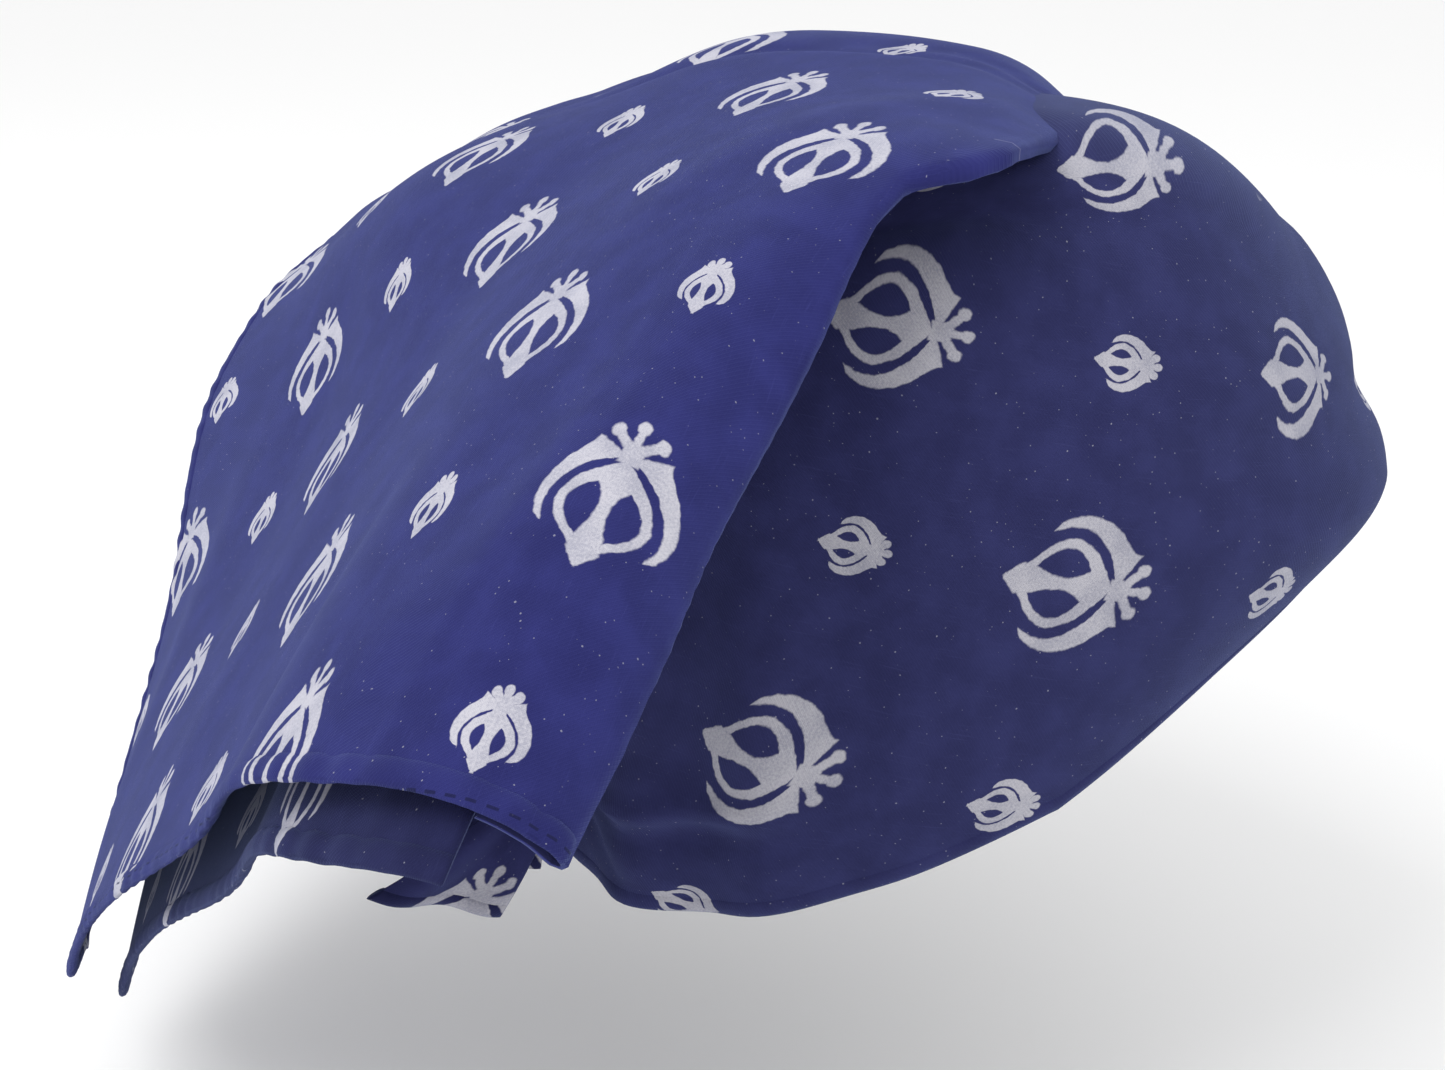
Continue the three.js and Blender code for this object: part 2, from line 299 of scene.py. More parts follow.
def crown_surface(angle, t):
    """A place on the crown, by the angle round the head and the share t from its top to its edge."""
    c = np.cos(angle)
    s = np.sin(angle)
    radius = 1.0 / np.hypot(c / np.where(c > 0.0, HEAD_FRONT, HEAD_BACK), s / HEAD_HALF_WIDTH)
    turn = math.pi / 2.0 * np.minimum(1.0, t / WIDEST_AT)
    down = np.maximum(0.0, (t - WIDEST_AT) / (1.0 - WIDEST_AT))
    drop = CROWN_HEIGHT * (1.0 - np.cos(turn)) + (edge_drop(angle) - CROWN_HEIGHT) * down
    tuck = NAPE_TUCK + (FRONT_TUCK - NAPE_TUCK) * (1.0 + c) / 2.0
    groove = GROOVE_DEPTH * np.exp(-(((drop - GROOVE_DROP) / GROOVE_WIDTH) ** 2)) * smooth(*GROOVE_ROUND, c)
    gathered = smooth(*GATHER_DOWN, t) * smooth(*GATHER_ROUND, -c)
    gather = GATHER_DEPTH * gathered * np.cos(GATHER_COUNT * angle)
    r = radius * np.sin(turn) * (1.0 - tuck * down * down) - groove - gather
    return np.stack([HEAD_CENTRE_X * (1.0 - np.cos(turn)) + r * c, r * s, CROWN_WALL - drop], -1)


def crown_normal(angle, t):
    t = np.maximum(t, 2.0 * SMALL)
    down = crown_surface(angle, t + SMALL) - crown_surface(angle, t - SMALL)
    round_head = crown_surface(angle + SMALL, t) - crown_surface(angle - SMALL, t)
    return unit(np.cross(down, round_head))


# How the print lies on the crown: what it is measured from, and the unit of its terms in millimetres.
PRINT_UNIT = 100.0
PRINT_CENTRE = (14.0, 0.0, -76.0)
PRINT_RADIUS = 85.0
PRINT_QUARTER = 134.0
PRINT_STRAIGHT = 1.1
PRINT_STRAIGHT_SLOPE = 0.8
ROUND_THE_BROW = (0.5, 1.25)

# Terms of the print's place: one, forwards, up, forwards curved, forwards times up, up squared.
CROWN_U_TERMS = (1.982, -0.384, -2.051, -0.106, 0.007, -0.27)
CROWN_V_TERMS = (1.020, -2.065, 0.472, 0.171, -0.068, -0.019)
LOW_STRETCH = 3.5
LOW_STRETCH_AT = -0.40
HIGH_SLIDE = 0.17
HIGH_SLIDE_UP = (0.5, 0.8)

# Small pulls of the crown's print. Columns: u, v, width, move in u, move in v.
CROWN_PULLS = [
    (0.0, 2.0, 0.4, 0.35, 0.0),
    (1.0, 0.0, 0.5, 0.08, 0.13),
]

# The print on the top of the crown, in millimetres from its emblem. Terms: one, forwards, to the left.
TOP_EMBLEM_X = 27.0
TOP_EMBLEM_Y = -39.0
TOP_U_TERMS = (0.0, 0.0062, -0.0118)
TOP_V_TERMS = (1.05, -0.0271, 0.0065)
TOP_U_PAST = 25.0
TOP_U_PAST_SLOPE = 0.012
TOP_FROM_Y = (-50.0, -34.0)
TOP_TO_Y = (20.0, 45.0)
TOP_FROM_Z = (-34.0, -14.0)


def pull_print(u, v, rows):
    """The print's place after small pulls of the cloth, each fading out round its own middle."""
    for at_u, at_v, width, move_u, move_v in rows:
        near = np.exp(-(((u - at_u) / width) ** 2) - ((v - at_v) / width) ** 2)
        u, v = u + move_u * near, v + move_v * near
    return u, v


def sum_terms(factors, terms):
    """The sum of the terms, each times its factor."""
    return sum(factor * term for factor, term in zip(factors, terms))


def crown_print(angle, t):
    """The print on the crown: flat on each side of the head, and carried round the brow between them."""
    place = crown_surface(angle, t)
    off = place - np.array(PRINT_CENTRE)
    side = np.where(off[:, 1] > 0.0, 1.0, -1.0)
    reach = np.arccos(np.clip(side * off[:, 1] / np.linalg.norm(off, axis=-1), -1.0, 1.0))
    way = np.arctan2(off[:, 2], off[:, 0])
    flat_x = PRINT_RADIUS * reach * np.cos(way)
    flat_z = PRINT_RADIUS * reach * np.sin(way)
    turned = math.pi / 2.0 - np.abs(wrapped(angle))
    round_x = PRINT_QUARTER * turned / (math.pi / 2.0)
    share = smooth(*ROUND_THE_BROW, turned)
    x = flat_x + (round_x - flat_x) * share
    z = (flat_z + (meridian(angle, t) - flat_z) * share) / PRINT_UNIT
    x = np.where(side > 0.0, 2.0 * PRINT_QUARTER - x, x) / PRINT_UNIT
    straight = PRINT_STRAIGHT**2 + PRINT_STRAIGHT_SLOPE * (x - PRINT_STRAIGHT)
    curved = np.where(x < PRINT_STRAIGHT, x * x, straight)
    terms = (1.0, x, z, curved, x * z, z * z)
    low = LOW_STRETCH * np.minimum(z - LOW_STRETCH_AT, 0.0) ** 2
    u = sum_terms(CROWN_U_TERMS, terms) + low + HIGH_SLIDE * smooth(*HIGH_SLIDE_UP, z)
    u, v = pull_print(u, sum_terms(CROWN_V_TERMS, terms), CROWN_PULLS)
    forwards = place[:, 0] - TOP_EMBLEM_X
    terms = (1.0, forwards, place[:, 1] - TOP_EMBLEM_Y)
    past = TOP_U_PAST_SLOPE * np.maximum(forwards - TOP_U_PAST, 0.0)
    top = smooth(*TOP_FROM_Y, place[:, 1]) * (1.0 - smooth(*TOP_TO_Y, place[:, 1]))
    top = top * smooth(*TOP_FROM_Z, place[:, 2])
    top_u = sum_terms(TOP_U_TERMS, terms) + past
    top_v = sum_terms(TOP_V_TERMS, terms)
    return u + (top_u - u) * top, v + (top_v - v) * top


def wrapped(angle):
    """The same angle, between a half turn either way."""
    return np.arctan2(np.sin(angle), np.cos(angle))


MERIDIAN_STRETCH = 1.06


def meridian(angle, t):
    """How far a place lies above the widest part of the crown, along its surface."""
    above = (math.pi / 2.0) * CROWN_HEIGHT * MERIDIAN_STRETCH * (1.0 - np.minimum(1.0, t / WIDEST_AT))
    below = (edge_drop(angle) - CROWN_HEIGHT) * np.maximum(0.0, (t - WIDEST_AT) / (1.0 - WIDEST_AT))
    return above - below


BROW_STAND = 6.0
BROW_STAND_AT = 0.22
BROW_STAND_WIDTH = 0.13

# Columns: share down the crown where it starts and is full, depth in millimetres.
BROW_DRAWS_IN = [(0.36, 0.52, 2.2), (0.6, 0.9, 1.6)]


def brow_form(angle, t):
    """How the crown stands out above the brow and draws in under it."""
    stand = BROW_STAND * np.exp(-(((t - BROW_STAND_AT) / BROW_STAND_WIDTH) ** 2))
    drawn = sum(depth * smooth(start, full, t) for start, full, depth in BROW_DRAWS_IN)
    return smooth(*BROW_ROUND, np.cos(angle)) * (stand - drawn)


def crown_place(angle, t, lift):
    """A point of the crown, lift millimetres outwards. Its small folds are on the wearer's right."""
    u, v = crown_print(angle, t)
    right = smooth(*RIGHT_SIDE, -np.sin(angle))
    height = lift + soft_folds(u, v, CROWN_FOLDS) * right + brow_form(angle, t)
    return crown_surface(angle, t) + crown_normal(angle, t) * height[..., None]


# Making a piece of cloth from a grid.


def new_piece(name, mesh, material):
    data = bpy.data.meshes.new(name)
    mesh.to_mesh(data)
    mesh.free()
    data.polygons.foreach_set("use_smooth", [True] * len(data.polygons))
    data.materials.append(material)
    piece = bpy.data.objects.new(name, data)
    bpy.context.scene.collection.objects.link(piece)
    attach(piece, "root")
    return piece


def cloth_grid(columns, rows, place, print_at):
    """A grid over the unit square, carried to its place on the cloth. Its place in the print is its UV."""
    mesh = bmesh.new()
    bmesh.ops.create_grid(mesh, x_segments=columns, y_segments=rows, size=0.5)
    shares = np.array([vert.co[:2] for vert in mesh.verts]) + 0.5
    across, along = shares[:, 0], shares[:, 1]
    prints = np.stack(print_at(across, along), -1)
    layer = mesh.loops.layers.uv.new("print")
    mesh.verts.index_update()
    for vert, spot in zip(mesh.verts, place(across, along) * MM):
        vert.co = spot
    for face in mesh.faces:
        for loop in face.loops:
            loop[layer].uv = prints[loop.vert.index]
    return mesh


def add_wall(piece, thickness, offset, reverse=None):
    """Gives the cloth its thickness and, where a reverse is named, another finish on the inside."""
    wall = piece.modifiers.new("wall", "SOLIDIFY")
    wall.thickness = thickness * MM
    wall.offset = offset
    if reverse:
        piece.data.materials.append(reverse)
        wall.material_offset = 1


# Shader maths.


class Value:
    """A number that changes over the surface. An expression on it adds its Math nodes."""

    def __init__(self, finish, socket):
        self.finish = finish
        self.socket = socket

    def __add__(self, other):
        return self.finish.math("ADD", self, other)

    def __sub__(self, other):
        return self.finish.math("SUBTRACT", self, other)

    def __rsub__(self, other):
        return self.finish.math("SUBTRACT", other, self)

    def __mul__(self, other):
        return self.finish.math("MULTIPLY", self, other)

    def __truediv__(self, other):
        return self.finish.math("DIVIDE", self, other)

    def __abs__(self):
        return self.finish.math("ABSOLUTE", self)

    __radd__ = __add__
    __rmul__ = __mul__


class Finish:
    """A material whose nodes all come from one method."""

    def __init__(self, name):
        self.material = bpy.data.materials.new(name)
        self.material.use_nodes = True
        self.tree = self.material.node_tree
        self.tree.nodes.clear()

    def node(self, kind, settings=None, sockets=None):
        made = self.tree.nodes.new(kind)
        for key, value in (settings or {}).items():
            if key == "stops":
                set_stops(made.color_ramp, value)
            else:
                setattr(made, key, value)
        for key, value in (sockets or {}).items():
            if isinstance(value, Value):
                value = value.socket
            if isinstance(value, bpy.types.NodeSocket):
                self.tree.links.new(value, made.inputs[key])
            else:
                made.inputs[key].default_value = value
        return made

    def math(self, operation, *values):
        made = self.node("ShaderNodeMath", {"operation": operation}, dict(enumerate(values)))
        return Value(self, made.outputs[0])

    def least(self, *values):
        first, *rest = values
        for value in rest:
            first = self.math("MINIMUM", first, value)
        return first

    def most(self, *values):
        first, *rest = values
        for value in rest:
            first = self.math("MAXIMUM", first, value)
        return first

    def step(self, start, end, value):
        settings = {"interpolation_type": "SMOOTHSTEP"}
        made = self.node("ShaderNodeMapRange", settings, {0: value, 1: start, 2: end, 3: 0.0, 4: 1.0})
        return Value(self, made.outputs[0])

    def noise(self, vector, scale, detail=2.0, roughness=0.5):
        sockets = {"Vector": vector, "Scale": scale, "Detail": detail, "Roughness": roughness}
        made = self.node("ShaderNodeTexNoise", None, sockets)
        return Value(self, made.outputs[0])

    def blend(self, share, first, second):
        settings = {"data_type": "RGBA"}
        made = self.node("ShaderNodeMix", settings, {0: share, 6: first, 7: second})
        return made.outputs[2]

    def profile(self, at, rows):
        """The half width of a form of the print, by the place along its sword."""
        stops = [((a - PRINT_LOW) / PRINT_SPAN, width / PRINT_WIDE) for a, width in sorted(rows)]
        share = (at - PRINT_LOW) / PRINT_SPAN
        made = self.node("ShaderNodeValToRGB", {"stops": stops}, {0: share})
        return Value(self, made.outputs[0]) * PRINT_WIDE


def set_stops(ramp, stops):
    ramp.interpolation = "CARDINAL"
    while len(ramp.elements) > 1:
        ramp.elements.remove(ramp.elements[-1])
    ramp.elements[0].position = stops[0][0]
    for position, _ in stops[1:]:
        ramp.elements.new(position)
    for element, (_, grey) in zip(ramp.elements, stops):
        element.color = (grey, grey, grey, 1.0)


PRINT_LOW = -0.36
PRINT_SPAN = 0.72
PRINT_WIDE = 0.32
PRINT_SIZE = 0.96

# The printed emblem: half widths by the place along its sword, in pitches, from its stalks to its tip.
OUTLINE = [
    (-0.135, 0.0), (-0.115, 0.030), (-0.090, 0.066), (-0.067, 0.096), (-0.03, 0.142), (0.03, 0.178),
    (0.095, 0.192), (0.17, 0.156), (0.209, 0.112), (0.243, 0.070), (0.262, 0.066), (0.29, 0.042),
    (0.31, 0.022), (0.322, 0.012), (0.327, 0.0),
]
SWORD = [
    (-0.03, 0.072), (0.0, 0.050), (0.05, 0.029), (0.10, 0.028), (0.15, 0.038), (0.21, 0.060),
]
RING_INSIDE = [
    (-0.03, 0.052), (-0.02, 0.070), (0.0, 0.102), (0.035, 0.136), (0.09, 0.153), (0.15, 0.128),
    (0.19, 0.088), (0.21, 0.055),
]
BLADE_INSIDE = [
    (-0.145, 0.0), (-0.132, 0.044), (-0.118, 0.078), (-0.10, 0.112), (-0.078, 0.148), (-0.025, 0.198),
    (0.03, 0.232), (0.08, 0.241), (0.13, 0.235), (0.188, 0.212),
]
BLADE_OUTSIDE = [
    (-0.215, 0.152), (-0.17, 0.172), (-0.115, 0.226), (-0.06, 0.265), (0.0, 0.287), (0.06, 0.292),
    (0.12, 0.276), (0.165, 0.248), (0.188, 0.208), (0.192, 0.18),
]


BODY_FROM = -0.13
BODY_TO = 0.325
BLADE_TO = 0.19
BARB_AT = -0.165
BARB_SLOPE = 0.44
NECK_HALF = 0.045
NECK_FROM = -0.215
NECK_TO = -0.12

# The stalks and their round ends. Columns: start, end, radius.
STALKS = [
    ((-0.19, 0.030), (-0.235, 0.080), 0.019),
    ((-0.242, 0.092), (-0.250, 0.093), 0.026),
    ((-0.20, 0.0), (-0.28, 0.0), 0.017),
    ((-0.279, 0.0), (-0.284, 0.0), 0.027),
]


def emblem(finish, a, b, grow):
    """How far inside the emblem a place is, in pitches. It is below 0 outside."""
    side = abs(b)
    body = finish.least(finish.profile(a, OUTLINE) - side, a - BODY_FROM, BODY_TO - a)
    hole = finish.least(side - finish.profile(a, SWORD), finish.profile(a, RING_INSIDE) - side)
    blade = finish.least(side - finish.profile(a, BLADE_INSIDE), finish.profile(a, BLADE_OUTSIDE) - side)
    blade = finish.least(blade, BLADE_TO - a)
    barb = a - BARB_AT + (side - NECK_HALF) * BARB_SLOPE
    neck = finish.least(NECK_HALF - side, a - NECK_FROM, NECK_TO - a)
    prongs = [stalk(finish, a, side, *row) for row in STALKS]
    solid = finish.most(body, finish.least(blade, barb), neck, *prongs) + grow
    return finish.least(solid, grow - hole)


def stalk(finish, a, side, start, end, radius):
    """How far inside a line with round ends a place is."""
    da, db = end[0] - start[0], end[1] - start[1]
    share = ((a - start[0]) * da + (side - start[1]) * db) / (da * da + db * db)
    share = finish.least(finish.most(share, 0.0), 1.0)
    off_a = a - start[0] - share * da
    off_b = side - start[1] - share * db
    return radius - finish.math("SQRT", off_a * off_a + off_b * off_b)


SMALL_EMBLEM_SCALE = 1.15
SMALL_EMBLEM_NARROW = 0.08
SMALL_EMBLEM_GROW = 0.014
EMBLEM_MIDDLE = 0.045
EMBLEM_LEAN = 0.07
PRINT_EDGE = 0.006
PRINT_ROUGH = 0.016


def print_mask(finish, u, v, rough):
    """Where the print lies: a big emblem on odd places of the lattice, and a small one on even places."""
    cell_u = finish.math("FLOOR", u + 0.5)
    cell_v = finish.math("FLOOR", v + 0.5)
    small = 1.0 - finish.math("FLOORED_MODULO", cell_u + cell_v, 2.0)
    size = PRINT_SIZE + small * PRINT_SIZE * SMALL_EMBLEM_SCALE
    a = (v - cell_v) * size - EMBLEM_MIDDLE
    b = (u - cell_u) * size
    narrowed = b * (1.0 + small * SMALL_EMBLEM_NARROW)
    inside = emblem(finish, a - b * EMBLEM_LEAN, narrowed, small * SMALL_EMBLEM_GROW)
    return finish.step(-PRINT_EDGE, PRINT_EDGE, inside + (rough - 0.5) * PRINT_ROUGH)


NAVY = (0.027, 0.029, 0.105)
NAVY_DEEP = (0.019, 0.020, 0.076)
NAVY_WORN = (0.046, 0.050, 0.150)
PRINT_WHITE = (0.56, 0.55, 0.60)
PRINT_THIN = (0.38, 0.38, 0.45)
THREAD_DARK = (0.012, 0.013, 0.05, 1.0)
SHEEN_BLUE = (0.42, 0.55, 1.0, 1.0)

# Scales are told by the pitch of the print.
THREADS = 110.0
MOTTLE_SCALE = 5.0
ROUGH_SCALE = 34.0
GRAIN_SCALE = 90.0
LINT_SCALE = 75.0
SLUB_STRETCH = (160.0, 5.0, 1.0)

# Values of a noise between which a mark of the cloth starts and is full.
MOTTLED = (0.30, 0.75)
SLUBBED = (0.58, 0.80)
LINTED = (0.815, 0.85)
INKED = (0.35, 0.62)

# How much of each mark shows in the colour, and how high it stands.
WARP_SHARE = 0.6
SLUB_SHOWS = 0.35
GRAIN_SHOWS = 0.25
WEAVE_SHOWS = 0.10
LINT_SHOWS = 0.5
INK_COVERS = 0.93
INK_WEAVE = 0.05
WEAVE_HEIGHT = 0.5
SLUB_HEIGHT = 0.4
GRAIN_HEIGHT = 0.5
PRINT_HEIGHT = 0.35
BUMP = {"Strength": 0.35, "Distance": 0.00035}
CLOTH_ROUGHNESS = 0.88
PRINT_SMOOTHER = 0.10
MOTTLE_ROUGHER = 0.06


def dye(shade, painted_shading=1.0, painted_lit_blue=1.0):
    """A shade made lighter or darker by painted light or shade, and bluer by the painted blue of lit cloth.
    """
    red, green, blue_part = shade
    return (red * painted_shading, green * painted_shading, blue_part * painted_shading * painted_lit_blue, 1.0)


def woven(finish, u, v):
    """The height of the weave: crossing threads with a faint twill."""
    warp = finish.math("SINE", u * (2.0 * math.pi * THREADS))
    weft = finish.math("SINE", v * (2.0 * math.pi * THREADS))
    twill = finish.math("SINE", (u + v) * (math.pi * THREADS))
    return warp * weft * WARP_SHARE + twill * (1.0 - WARP_SHARE)


def cotton(name, print_strength, stitched=False, painted_shading=1.0, painted_lit_blue=1.0, painted_print_shading=1.0):
    """Printed navy cotton with its print, weave, slubs and specks of lint, and painted light and shade."""
    finish = Finish(name)
    place = finish.node("ShaderNodeUVMap", {"uv_map": "print"}).outputs[0]
    parts = finish.node("ShaderNodeSeparateXYZ", None, {0: place})
    u = Value(finish, parts.outputs[0])
    v = Value(finish, parts.outputs[1])
    mottle = finish.noise(place, MOTTLE_SCALE, 3.0)
    grain = finish.noise(place, GRAIN_SCALE, 2.0, 0.7)
    left_out = Value(finish, finish.node("ShaderNodeAttribute", {"attribute_name": "bare"}).outputs["Fac"])
    mask = print_mask(finish, u, v, finish.noise(place, ROUGH_SCALE))
    printed = mask * print_strength * (1.0 - left_out)
    weave = woven(finish, u, v)
    stretched = finish.node("ShaderNodeMapping", None, {0: place, 3: SLUB_STRETCH}).outputs[0]
    slub = finish.step(*SLUBBED, finish.noise(stretched, 1.0))
    lint = finish.step(*LINTED, finish.noise(place, LINT_SCALE, 0.0))

    # Painted light and shade: the dye is made lighter, darker or bluer for lit and shaded copies of one
    # cloth.
    deep, navy, worn = (dye(shade, painted_shading, painted_lit_blue) for shade in (NAVY_DEEP, NAVY, NAVY_WORN))
    dyed = finish.blend(finish.step(*MOTTLED, mottle), deep, navy)
    dyed = finish.blend(slub * SLUB_SHOWS + grain * GRAIN_SHOWS + weave * WEAVE_SHOWS, dyed, worn)
    inked = finish.step(*INKED, grain * 0.5 + mottle * 0.5)
    # Painted shade: the print is made darker on the copy that stands for shaded cloth.
    ink = finish.blend(inked, dye(PRINT_THIN, painted_print_shading), dye(PRINT_WHITE, painted_print_shading))
    colour = finish.blend(printed * (INK_COVERS + weave * INK_WEAVE), dyed, ink)
    colour = finish.blend(lint * LINT_SHOWS, colour, dye(PRINT_THIN))
    height = weave * WEAVE_HEIGHT + slub * SLUB_HEIGHT + grain * GRAIN_HEIGHT + printed * PRINT_HEIGHT
    if stitched:
        colour, height = stitch_line(finish, u, v, colour, height)
    bump = finish.node("ShaderNodeBump", None, {**BUMP, "Height": height})
    surface = finish.node("ShaderNodeBsdfPrincipled", None, {
        "Base Color": colour,
        "Roughness": CLOTH_ROUGHNESS - printed * PRINT_SMOOTHER + mottle * MOTTLE_ROUGHER,
        "Sheen Weight": 0.20,
        "Sheen Tint": SHEEN_BLUE,
        "Sheen Roughness": 0.45,
        "Specular IOR Level": 0.06,
        "Normal": bump.outputs[0],
    })
    finish.node("ShaderNodeOutputMaterial", None, {0: surface.outputs[0]})
    return finish.material


# The stitches along a hem, in pitches of the print. A thread and its dent each fade between two distances.
STITCH_IN = 0.075
STITCH_EVERY = 0.07
STITCH_HALF = (0.0065, 0.003)
STITCH_GAP = (-0.3, 0.1)
STITCH_DENT = (0.035, 0.0)
THREAD_SHOWS = 0.8
THREAD_HEIGHT = 2.0
DENT_DEPTH = 2.5


def stitch_line(finish, u, v, colour, height):
    """Running stitches along the two hems, and the dent that they pull in the cloth."""
    threads = []
    dents = []
    for from_hem, along in ((HEM - v, u), (u - (1.0 - HEM), v)):
        off = abs(from_hem - STITCH_IN)
        shown = finish.step(*STITCH_GAP, finish.math("SINE", along * (2.0 * math.pi / STITCH_EVERY)))
        threads.append(finish.step(*STITCH_HALF, off) * shown)
        dents.append(finish.step(*STITCH_DENT, off))
    thread = finish.most(*threads)
    colour = finish.blend(thread * THREAD_SHOWS, colour, THREAD_DARK)
    return colour, height + thread * THREAD_HEIGHT - finish.most(*dents) * DENT_DEPTH


# Painted shade: the print of the crown, its fold and the tie ends is made darker, for the crown's shaded
# side.
printed_cotton = cotton("printed_cotton", 1.0, painted_print_shading=0.84)
# Painted light: the flap is the crown's cloth, made bluer where the flap is lit.
flap_cotton_painted_light = cotton("flap_cotton_painted_light", 1.0, painted_shading=0.94, painted_lit_blue=1.42)
# The inside faces: a faint print through the cloth, which is real, and painted shade that darkens them.
reverse_painted_shade = cotton("printed_cotton_reverse_painted_shade", 0.35, painted_shading=0.68)
# Painted light: the outer hem is made bluer, as the lit flap is.
stitched_hem_painted_light = cotton("stitched_hem_painted_light", 1.0, stitched=True, painted_shading=0.94, painted_lit_blue=1.42)
# Painted shade: the inner hem is made darker, where it lies under the outer layer.
stitched_inner_hem_painted_shade = cotton("stitched_inner_hem_painted_shade", 0.9, stitched=True, painted_shading=0.72)
# Painted shade: the inner layer, the knot, its wrap and the tie hems are made darker, lying in the flap's
# shadow.
cotton_painted_shade = cotton("cotton_painted_shade", 0.8, painted_shading=0.72)


# The crown, closed at its top, with the fold along its edge.

CROWN_COLUMNS = 220
CROWN_ROWS = 110
CROWN_WALL_SHARE = 0.9
MERGE = 0.00002

# Where the print is left out, in millimetres: from the first value on to the second.
BARE_FAR_Y = (4.0, 9.0)
BARE_FAR_Z = (-22.0, -15.0)
BARE_FRONT_X = (50.0, 56.0)
BARE_FRONT_Y = (-28.0, -20.0)
BARE_FRONT_TO_Y = (24.0, 32.0)
BARE_FRONT_Z = (-46.0, -40.0)


def round_the_head(across):
    return math.pi - 2.0 * math.pi * across


def bare_share(x, y, z):
    """Where the print is left out: on top, where the cloth is gathered by the corner of the flap."""
    far_top = smooth(*BARE_FAR_Y, y) * smooth(*BARE_FAR_Z, z)
    front_top = smooth(*BARE_FRONT_X, x) * smooth(*BARE_FRONT_Y, y)
    front_top = front_top * (1.0 - smooth(*BARE_FRONT_TO_Y, y)) * smooth(*BARE_FRONT_Z, z)
    return np.maximum(far_top, front_top)


crown_mesh = cloth_grid(
    CROWN_COLUMNS,
    CROWN_ROWS,
    lambda across, along: crown_place(round_the_head(across), along, np.zeros_like(along)),
    lambda across, along: crown_print(round_the_head(across), along),
)
bmesh.ops.remove_doubles(crown_mesh, verts=crown_mesh.verts, dist=MERGE)
crown = new_piece("crown_cloth", crown_mesh, printed_cotton)
add_wall(crown, CROWN_WALL * CROWN_WALL_SHARE, -1.0, reverse_painted_shade)

spots = np.array([vertex.co for vertex in crown.data.vertices]) / MM
bare = crown.data.attributes.new("bare", "FLOAT", "POINT")
bare.data.foreach_set("value", bare_share(*spots.T).astype(np.float32))
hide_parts("crown_wrap")


ROLL_SECTION = 12
HEM_WIDTH = 5.0
HEM_THICKNESS = 2.0
CROWN_FOLD_THICKNESS = 2.8

# How far a roll stands out past its edge.
CROWN_FOLD_OUT = 0.6
HEM_OUT = 0.4


def edge_roll(name, columns, width, thickness, at_edge, material, closed=False):
    """A soft roll or a turned hem along an edge. at_edge gives the place and the print of a point on it."""
    def spots(along, round_it):
        turn = 2.0 * math.pi * round_it
        return width / 2.0 * (1.0 - np.cos(turn)), thickness / 2.0 * np.sin(turn)

    mesh = cloth_grid(
        columns,
        ROLL_SECTION,
        lambda along, round_it: at_edge(along, *spots(along, round_it))[0],
        lambda along, round_it: at_edge(along, *spots(along, round_it))[1],
    )
    bmesh.ops.remove_doubles(mesh, verts=mesh.verts, dist=MERGE)
    if not closed:
        bmesh.ops.holes_fill(mesh, edges=mesh.edges)
    bmesh.ops.recalc_face_normals(mesh, faces=mesh.faces)
    return new_piece(name, mesh, material)


def crown_edge(along, inwards, lift):
    angle = round_the_head(along)
    drop = edge_drop(angle) - CROWN_HEIGHT
    t = 1.0 - (inwards - CROWN_FOLD_OUT) / (drop / (1.0 - WIDEST_AT))
    return crown_place(angle, t, lift - CROWN_WALL / 2.0), crown_print(angle, t)


crown_fold = edge_roll(
    "crown_edge_fold",
    CROWN_COLUMNS,
    HEM_WIDTH,
    CROWN_FOLD_THICKNESS,
    crown_edge,
    printed_cotton,
    closed=True,
)


# The two layers of the flap. The sides turn under in a soft roll and come back inside.

ROLL_RADIUS = 1.5
RETURN = 14.0
ROLL_LENGTH = math.pi * ROLL_RADIUS + RETURN


def turned_under(past):
    """How far along the cloth and inwards a place lies that is past a rolled side, in millimetres."""
    turn = np.clip(past / ROLL_RADIUS, 0.0, math.pi)
    over = np.where(past > 0.0, ROLL_RADIUS * np.sin(turn), past)
    over = np.where(past > math.pi * ROLL_RADIUS, -(past - math.pi * ROLL_RADIUS), over)
    return over, -ROLL_RADIUS * (1.0 - np.cos(turn)) * (past > 0.0)


# How the folded corner sinks into the crown, and how far its far side is trimmed.
CORNER_SINK = 7.0
CORNER_SINK_DOWN = (2.7, 4.0)
CORNER_SINK_ACROSS = (-1.7, -1.0)
SOFT_CORNER_TRIM = 0.5

# How the inner layer's near border draws in, in pitches, and where along the border.
TUCK_REACH = 0.22
TUCK_AT = 0.36
TUCK_WIDTH = 0.12

# How the hems round off towards their corners, in pitches, and where along the hem.
CORNER_ROUND = 0.10
HEM_ROUND = 0.26
CORNER_FULL = 0.12
CORNER_FULL_AT = 0.88
CORNER_FULL_WIDTH = 0.08

# How much lower the inner layer's hem falls at its near end, and how much higher it runs from there on.
INNER_LOW = 0.06
INNER_LOW_TO = (0.03, 0.25)
INNER_HIGH = 0.12
INNER_HIGH_FROM = (0.1, 0.6)

# The outer layer's near border. Columns: v down the border, u where the cloth turns under.
NEAR_BORDER = [
    (1.3, -1.0), (1.8, -0.95), (2.0, -0.86), (2.4, -0.75), (2.8, -0.62), (3.2, -0.50), (3.6, -0.39),
    (3.85, -0.33), (4.0, -0.38), (4.2, -0.59), (4.4, -0.62), (5.5, -0.59), (6.5, -0.54), (7.35, -0.58),
]


def hem_line(hem, share, drop):
    """Where a hem runs, by the share along it. The inner layer's hem falls lower on the near side."""
    inner = INNER_LOW * (1.0 - smooth(*INNER_LOW_TO, share)) - INNER_HIGH * smooth(*INNER_HIGH_FROM, share)
    full = CORNER_FULL * np.exp(-(((share - CORNER_FULL_AT) / CORNER_FULL_WIDTH) ** 2))
    return hem - HEM_ROUND * share**8 + full + inner * (drop > 0.0)


